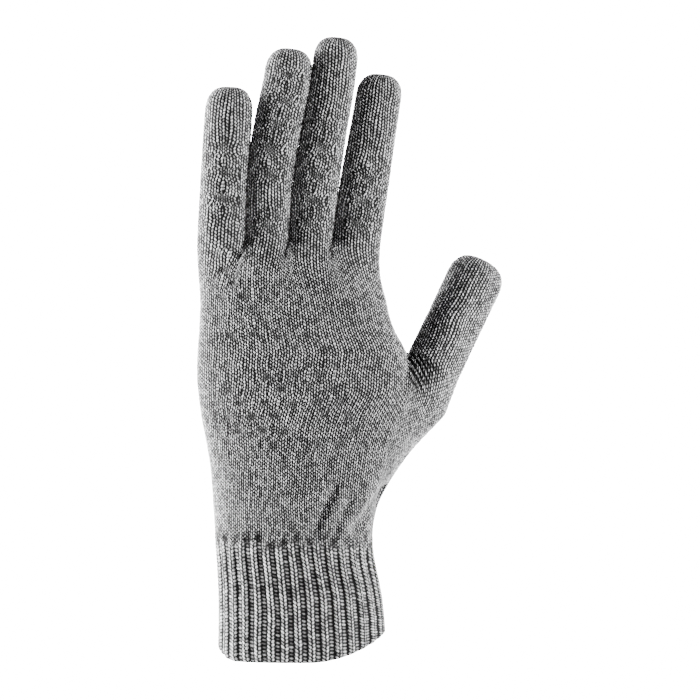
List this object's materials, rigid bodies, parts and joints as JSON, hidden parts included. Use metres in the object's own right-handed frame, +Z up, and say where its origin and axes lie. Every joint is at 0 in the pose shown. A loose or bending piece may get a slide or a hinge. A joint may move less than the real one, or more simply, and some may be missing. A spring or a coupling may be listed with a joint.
{
  "type": "knitted glove",
  "caption": "Knitted left-hand glove: seamless finger and thumb tubes on a tapered hand with a ribbed, elastic cuff, bending at every knuckle and the wrist.",
  "frame": {"origin": "middle of the opening that the hand goes in at, level with the lowest edge of the hem", "axes": "+Z up the glove to the fingertips, +X to the thumb side, +Y out of the palm, so the back of the hand faces -Y"},
  "size_m": [0.1183, 0.0479, 0.2438],
  "materials": {
    "plain_knit": "fine plain knit in grey marl yarn, matt and slightly fuzzy",
    "rib_knit": "one by one rib knit in grey marl yarn",
    "elastic_thread": "covered elastic thread",
    "tie_yarn": "tie of the same grey yarn"
  },
  "bodies": {
    "cuff": {"cuff_hem": "rib_knit", "cuff_rib": "rib_knit", "cuff_elastic_1": "elastic_thread", "cuff_elastic_2": "elastic_thread", "cuff_elastic_3": "elastic_thread", "cuff_elastic_4": "elastic_thread", "wrist_fold": "plain_knit"},
    "hand": {"lower_hand": "plain_knit", "upper_hand": "plain_knit", "crotch_tie_index_middle": "tie_yarn", "crotch_tie_middle_ring": "tie_yarn", "crotch_tie_ring_little": "tie_yarn", "index_base_fold": "plain_knit", "middle_base_fold": "plain_knit", "ring_base_fold": "plain_knit", "little_base_fold": "plain_knit", "thumb_base_fold": "plain_knit"},
    "index_lower": {"index_lower_tube": "plain_knit", "index_knuckle_fold": "plain_knit"},
    "index_middle": {"index_middle_tube": "plain_knit", "index_end_fold": "plain_knit"},
    "index_end": {"index_tip": "plain_knit"},
    "middle_lower": {"middle_lower_tube": "plain_knit", "middle_knuckle_fold": "plain_knit"},
    "middle_middle": {"middle_middle_tube": "plain_knit", "middle_end_fold": "plain_knit"},
    "middle_end": {"middle_tip": "plain_knit"},
    "ring_lower": {"ring_lower_tube": "plain_knit", "ring_knuckle_fold": "plain_knit"},
    "ring_middle": {"ring_middle_tube": "plain_knit", "ring_end_fold": "plain_knit"},
    "ring_end": {"ring_tip": "plain_knit"},
    "little_lower": {"little_lower_tube": "plain_knit", "little_knuckle_fold": "plain_knit"},
    "little_middle": {"little_middle_tube": "plain_knit", "little_end_fold": "plain_knit"},
    "little_end": {"little_tip": "plain_knit"},
    "thumb_lower": {"thumb_lower_tube": "plain_knit", "thumb_knuckle_fold": "plain_knit"},
    "thumb_end": {"thumb_tip": "plain_knit"}
  },
  "joints": [
    {"name": "wrist_bend", "type": "hinge", "parent": "cuff", "child": "hand", "pos_m": [0, 0, 0.054], "axis": [-1, 0, 0], "range_deg": [-40, 40], "deforming": ["wrist_fold"]},
    {"name": "index_base_bend", "type": "hinge", "parent": "hand", "child": "index_lower", "pos_m": [0.02431, 0.00725, 0.17048], "axis": [-0.9923, 0, 0.1236], "range_deg": [-15, 68], "deforming": ["index_base_fold"]},
    {"name": "index_knuckle_bend", "type": "hinge", "parent": "index_lower", "child": "index_middle", "pos_m": [0.02641, 0.00784, 0.18734], "axis": [-0.9923, 0, 0.1236], "range_deg": [0, 80], "deforming": ["index_knuckle_fold"]},
    {"name": "index_end_bend", "type": "hinge", "parent": "index_middle", "child": "index_end", "pos_m": [0.02899, 0.0095, 0.20809], "axis": [-0.9923, 0, 0.1236], "range_deg": [0, 50], "deforming": ["index_end_fold"]},
    {"name": "middle_base_bend", "type": "hinge", "parent": "hand", "child": "middle_lower", "pos_m": [0.00648, 0.00446, 0.17194], "axis": [-0.9952, 0, 0.0976], "range_deg": [-15, 68], "deforming": ["middle_base_fold"]},
    {"name": "middle_knuckle_bend", "type": "hinge", "parent": "middle_lower", "child": "middle_middle", "pos_m": [0.0085, 0.00517, 0.19257], "axis": [-0.9952, 0, 0.0976], "range_deg": [0, 80], "deforming": ["middle_knuckle_fold"]},
    {"name": "middle_end_bend", "type": "hinge", "parent": "middle_middle", "child": "middle_end", "pos_m": [0.01099, 0.00716, 0.21797], "axis": [-0.9952, 0, 0.0976], "range_deg": [0, 50], "deforming": ["middle_end_fold"]},
    {"name": "ring_base_bend", "type": "hinge", "parent": "hand", "child": "ring_lower", "pos_m": [-0.01202, 0.00165, 0.17146], "axis": [-0.9945, 0, 0.1045], "range_deg": [-15, 68], "deforming": ["ring_base_fold"]},
    {"name": "ring_knuckle_bend", "type": "hinge", "parent": "ring_lower", "child": "ring_middle", "pos_m": [-0.00998, 0.00224, 0.19085], "axis": [-0.9945, 0, 0.1045], "range_deg": [0, 80], "deforming": ["ring_knuckle_fold"]},
    {"name": "ring_end_bend", "type": "hinge", "parent": "ring_middle", "child": "ring_end", "pos_m": [-0.00747, 0.0039, 0.21472], "axis": [-0.9945, 0, 0.1045], "range_deg": [0, 50], "deforming": ["ring_end_fold"]},
    {"name": "little_base_bend", "type": "hinge", "parent": "hand", "child": "little_lower", "pos_m": [-0.03074, -0.00116, 0.16991], "axis": [-0.999, 0, 0.0436], "range_deg": [-15, 62], "deforming": ["little_base_fold"]},
    {"name": "little_knuckle_bend", "type": "hinge", "parent": "little_lower", "child": "little_middle", "pos_m": [-0.03007, -0.00069, 0.18529], "axis": [-0.999, 0, 0.0436], "range_deg": [0, 74], "deforming": ["little_knuckle_fold"]},
    {"name": "little_end_bend", "type": "hinge", "parent": "little_middle", "child": "little_end", "pos_m": [-0.02924, 0.00064, 0.20422], "axis": [-0.999, 0, 0.0436], "range_deg": [0, 46], "deforming": ["little_end_fold"]},
    {"name": "thumb_base_bend", "type": "hinge", "parent": "hand", "child": "thumb_lower", "pos_m": [0.05219, 0.01299, 0.12122], "axis": [-0.5539, -0.734, 0.393], "range_deg": [-10, 24], "deforming": ["thumb_base_fold"]},
    {"name": "thumb_knuckle_bend", "type": "hinge", "parent": "thumb_lower", "child": "thumb_end", "pos_m": [0.05806, 0.01515, 0.13352], "axis": [-0.5539, -0.734, 0.393], "range_deg": [0, 50], "deforming": ["thumb_knuckle_fold"]}
  ]
}
